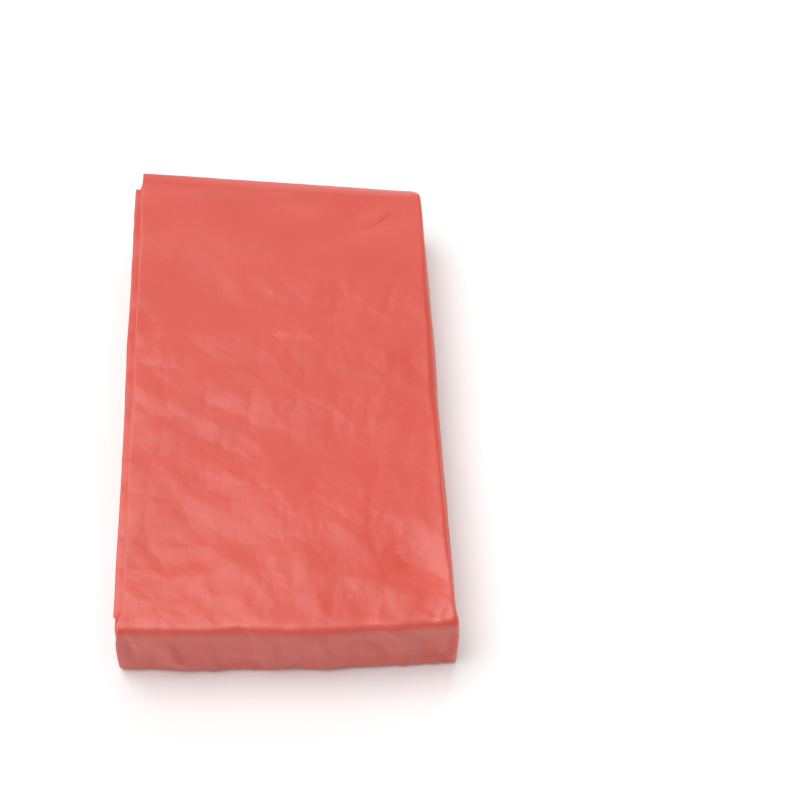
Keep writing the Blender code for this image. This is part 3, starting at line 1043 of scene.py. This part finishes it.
# %% Film material
def film_relief(tree, on_film, handled, crinkle, clouds):
    """Bumps one on another: die lines, a wide net of creases, a small one in patches, and crinkles."""
    lines_at = add_node(tree, "ShaderNodeMapping", {},
                        {"Scale": (1 / DIE_LINE_SPACING, CHANGES_ALONG_LINE, 1.0)}, on_film)
    lines = add_node(tree, "ShaderNodeTexNoise", {}, {"Scale": 1.0, "Detail": 3.0},
                     {"Vector": lines_at.outputs["Vector"]})
    swirl = add_node(tree, "ShaderNodeTexNoise", {}, {"Scale": 1 / CREASE_NET, "Detail": 1.0}, on_film)
    swirled = add_node(tree, "ShaderNodeVectorMath", {"operation": "MULTIPLY_ADD"}, {1: (NET_SWIRL,) * 3},
                       {0: swirl.outputs["Color"], 2: on_film["Vector"]})
    wide_net, small_net = [
        add_node(tree, "ShaderNodeTexVoronoi",
                 {"feature": "DISTANCE_TO_EDGE", "voronoi_dimensions": "2D"},
                 {"Scale": 1 / cell}, {"Vector": swirled.outputs["Vector"]})
        for cell in (CREASE_NET, SMALL_NET)
    ]
    low_cloud, high_cloud = SMALL_NET_CLOUDS
    patches = add_node(tree, "ShaderNodeMapRange", {}, {"From Min": low_cloud, "From Max": high_cloud},
                       {"Value": clouds.outputs["Fac"], "To Max": handled.outputs["Fac"]})
    line_bump = add_node(tree, "ShaderNodeBump", {}, {"Strength": 0.5, "Distance": DIE_LINE_HEIGHT},
                         {"Height": lines.outputs["Fac"]})
    wide_bump = add_node(tree, "ShaderNodeBump", {}, {"Distance": CREASE_NET_HEIGHT},
                         {"Strength": handled.outputs["Fac"], "Height": wide_net.outputs["Distance"],
                          "Normal": line_bump.outputs["Normal"]})
    small_bump = add_node(tree, "ShaderNodeBump", {}, {"Distance": SMALL_NET_HEIGHT},
                          {"Strength": patches.outputs["Result"], "Height": small_net.outputs["Distance"],
                           "Normal": wide_bump.outputs["Normal"]})
    return add_node(tree, "ShaderNodeBump", {}, {"Strength": 0.4, "Distance": CRINKLE_HEIGHT},
                    {"Height": crinkle.outputs["Fac"], "Normal": small_bump.outputs["Normal"]})


def film_colour(tree, whitening_and_highlight, clouds):
    """A cloudy mix of two tones, painted paler at hard creases and folds: whitening and painted highlight."""
    tone = add_node(tree, "ShaderNodeMix", {"data_type": "RGBA"},
                    {6: linear(FILM_DEEP), 7: linear(FILM_COLOUR)}, {"Factor": clouds.outputs["Fac"]})
    whitened_and_lit = add_node(tree, "ShaderNodeMath", {"operation": "MULTIPLY"}, {1: WHITENING_AND_HIGHLIGHT_SHARE},
                     {0: whitening_and_highlight.outputs["Fac"]})
    return add_node(tree, "ShaderNodeMix", {"data_type": "RGBA"}, {7: linear(FILM_WHITENED_AND_LIT)},
                    {"Factor": whitened_and_lit.outputs["Value"], 6: tone.outputs[2]})


def film_material():
    """Blown polyethylene film: satin, slightly hazy, with die lines, crinkles and pale creases: whitening and
    painted highlight.
    """
    material = bpy.data.materials.new("blown_polyethylene_film")
    material.use_nodes = True
    tree = material.node_tree
    shader = tree.nodes["Principled BSDF"]
    # the second attribute masks the pale paint: stress whitening and painted highlight
    place, whitening_and_highlight, handled = [
        add_node(tree, "ShaderNodeAttribute", {"attribute_name": name})
        for name in ("film_place", "whitening_and_highlight", "handling")
    ]
    on_film = {"Vector": place.outputs["Vector"]}
    crinkle = add_node(tree, "ShaderNodeTexNoise", {},
                       {"Scale": 1 / CRINKLE_SIZE, "Detail": 4.0, "Roughness": 0.55}, on_film)
    clouds = add_node(tree, "ShaderNodeTexNoise", {}, {"Scale": 1 / CLOUD_SIZE, "Detail": 3.0}, on_film)
    smoothest, roughest = SATIN_ROUGHNESS
    roughness = add_node(tree, "ShaderNodeMapRange", {}, {"To Min": smoothest, "To Max": roughest},
                         {"Value": crinkle.outputs["Fac"]})
    tree.links.new(film_colour(tree, whitening_and_highlight, clouds).outputs[2], shader.inputs["Base Color"])
    tree.links.new(roughness.outputs["Result"], shader.inputs["Roughness"])
    relief = film_relief(tree, on_film, handled, crinkle, clouds)
    tree.links.new(relief.outputs["Normal"], shader.inputs["Normal"])
    shader.inputs["IOR"].default_value = FILM_IOR
    shader.inputs["Subsurface Weight"].default_value = GLOW_WEIGHT
    shader.inputs["Subsurface Radius"].default_value = GLOW_RADIUS
    shader.inputs["Subsurface Scale"].default_value = GLOW_DEPTH
    return material


film = film_material()
pieces = [outer_film, wrap_lining, *inner_strip]
for piece in pieces:
    piece.data.materials.append(film)
print("material:", film.name, "on", len(pieces), "pieces")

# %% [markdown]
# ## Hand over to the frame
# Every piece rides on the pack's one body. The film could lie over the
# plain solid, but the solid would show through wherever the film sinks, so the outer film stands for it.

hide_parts("folded_sack")
for piece in pieces:
    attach(piece, "root")
